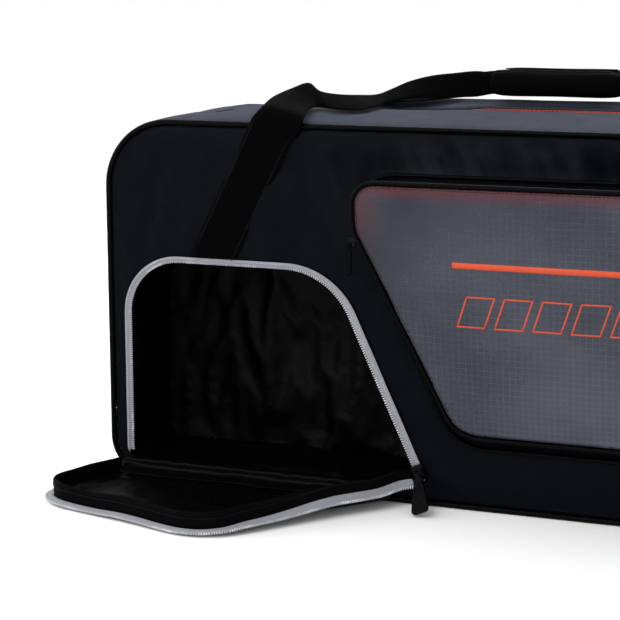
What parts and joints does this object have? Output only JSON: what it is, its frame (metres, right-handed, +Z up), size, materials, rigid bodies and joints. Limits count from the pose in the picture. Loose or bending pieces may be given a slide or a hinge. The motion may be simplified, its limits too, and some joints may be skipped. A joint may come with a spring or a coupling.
{
  "type": "racket tournament bag",
  "caption": "Soft rectangular racket bag with a zipped top, open drop-down shoe compartment, translucent front pocket, carrying handles and shoulder straps.",
  "frame": {"origin": "centre of the bag's base, at floor level", "axes": "+Z up, X along the bag's length with +X to the right seen from the front, -Y is the front"},
  "size_m": [0.7598, 0.3589, 0.364],
  "materials": {
    "black_nylon": "matte woven nylon with a faint sheen",
    "grey_fabric": "matte slate-grey woven polyester",
    "lining": "thin glossy lining",
    "foam_padding": "fabric-covered foam",
    "piping": "glossy covered cord",
    "ripstop": "translucent ripstop with a square grid",
    "webbing": "matte polypropylene webbing",
    "grey_tape": "light grey zip tape with a nylon coil",
    "orange_tape": "orange zip tape with a nylon coil",
    "board": "polyethylene sheet",
    "zip_metal": "black gloss zinc",
    "moulded": "black moulded plastic"
  },
  "bodies": {
    "bag": {"front_panel": "black_nylon", "rear_panel": "black_nylon", "base_gusset": "black_nylon", "end_panel_left": "black_nylon", "end_panel_right": "black_nylon", "corner_gusset_left": "grey_fabric", "corner_gusset_right": "grey_fabric", "piping_front": "piping", "piping_rear": "piping", "base_board": "board", "racket_divider": "foam_padding", "shoe_liner": "lining", "shoe_opening_tape": "grey_tape", "pocket_gusset": "black_nylon", "pocket_face": "ripstop", "pocket_face_piping": "piping", "pocket_seam_piping": "piping", "pocket_zip_tape": "orange_tape", "handle_leg_front_left": "webbing", "handle_leg_front_right": "webbing", "handle_leg_rear_left": "webbing", "handle_leg_rear_right": "webbing", "strap_upper_pad": "foam_padding", "strap_upper_anchor": "black_nylon", "strap_upper_ladder_lock": "moulded", "strap_upper_webbing": "webbing", "strap_lower_pad": "foam_padding", "strap_lower_anchor": "black_nylon", "strap_lower_ladder_lock": "moulded", "strap_lower_webbing": "webbing"},
    "main_opening_front": {"top_strip_front": "grey_fabric", "main_zip_tape_front": "orange_tape"},
    "main_opening_rear": {"top_strip_rear": "grey_fabric", "main_zip_tape_rear": "orange_tape"},
    "shoe_flap": {"shoe_flap_panel": "black_nylon", "shoe_flap_lining": "lining", "shoe_flap_binding": "lining", "shoe_flap_zip_tape": "grey_tape"},
    "front_handle": {"front_handle_webbing": "webbing", "front_handle_grip": "foam_padding"},
    "rear_handle": {"rear_handle_webbing": "webbing", "rear_handle_grip": "foam_padding"},
    "main_zip_slider": {"main_zip_slider": "zip_metal"},
    "main_zip_pull": {"main_zip_pull": "moulded"},
    "shoe_zip_slider": {"shoe_zip_slider": "zip_metal"},
    "shoe_zip_pull": {"shoe_zip_pull": "moulded"},
    "pocket_zip_slider": {"pocket_zip_slider": "zip_metal"},
    "pocket_zip_pull": {"pocket_zip_pull": "moulded"}
  },
  "joints": [
    {"name": "shoe_flap_hinge", "type": "hinge", "parent": "bag", "child": "shoe_flap", "pos_m": [-0.088, -0.098, 0.0023], "axis": [-0.9758, 0.1546, 0.1546], "range_deg": [0, 91.4]},
    {"name": "main_opening_front_fold", "type": "hinge", "parent": "bag", "child": "main_opening_front", "pos_m": [0, -0.0937, 0.32095], "axis": [-1, 0, 0], "range_deg": [0, 80]},
    {"name": "main_opening_rear_fold", "type": "hinge", "parent": "bag", "child": "main_opening_rear", "pos_m": [0, 0.0937, 0.32095], "axis": [1, 0, 0], "range_deg": [0, 80]},
    {"name": "front_handle_lift", "type": "hinge", "parent": "bag", "child": "front_handle", "pos_m": [0, -0.1037, 0.318], "axis": [1, 0, 0], "range_deg": [0, 105]},
    {"name": "rear_handle_lift", "type": "hinge", "parent": "bag", "child": "rear_handle", "pos_m": [0, 0.1037, 0.318], "axis": [-1, 0, 0], "range_deg": [0, 105]},
    {"name": "main_zip_slide", "type": "slide", "parent": "bag", "child": "main_zip_slider", "axis": [-1, 0, 0], "range_m": [0, 0.64]},
    {"name": "main_zip_pull_hinge", "type": "hinge", "parent": "main_zip_slider", "child": "main_zip_pull", "pos_m": [0.324, 0, 0.3373], "axis": [0, 1, 0], "range_deg": [0, 170]},
    {"name": "shoe_zip_slide", "type": "slide", "parent": "bag", "child": "shoe_zip_slider", "axis": [-0.4092, 0, 0.9125], "range_m": [0, 0.12]},
    {"name": "shoe_zip_pull_hinge", "type": "hinge", "parent": "shoe_zip_slider", "child": "shoe_zip_pull", "pos_m": [-0.08376, -0.1054, 0.02914], "axis": [-0.9125, 0, -0.4092], "range_deg": [0, 125]},
    {"name": "pocket_zip_slide", "type": "slide", "parent": "bag", "child": "pocket_zip_slider", "axis": [0, 0, 1], "range_m": [0, 0.024]},
    {"name": "pocket_zip_pull_hinge", "type": "hinge", "parent": "pocket_zip_slider", "child": "pocket_zip_pull", "pos_m": [-0.13687, -0.13124, 0.231], "axis": [-0.2069, 0.9784, 0], "range_deg": [0, 170]}
  ]
}
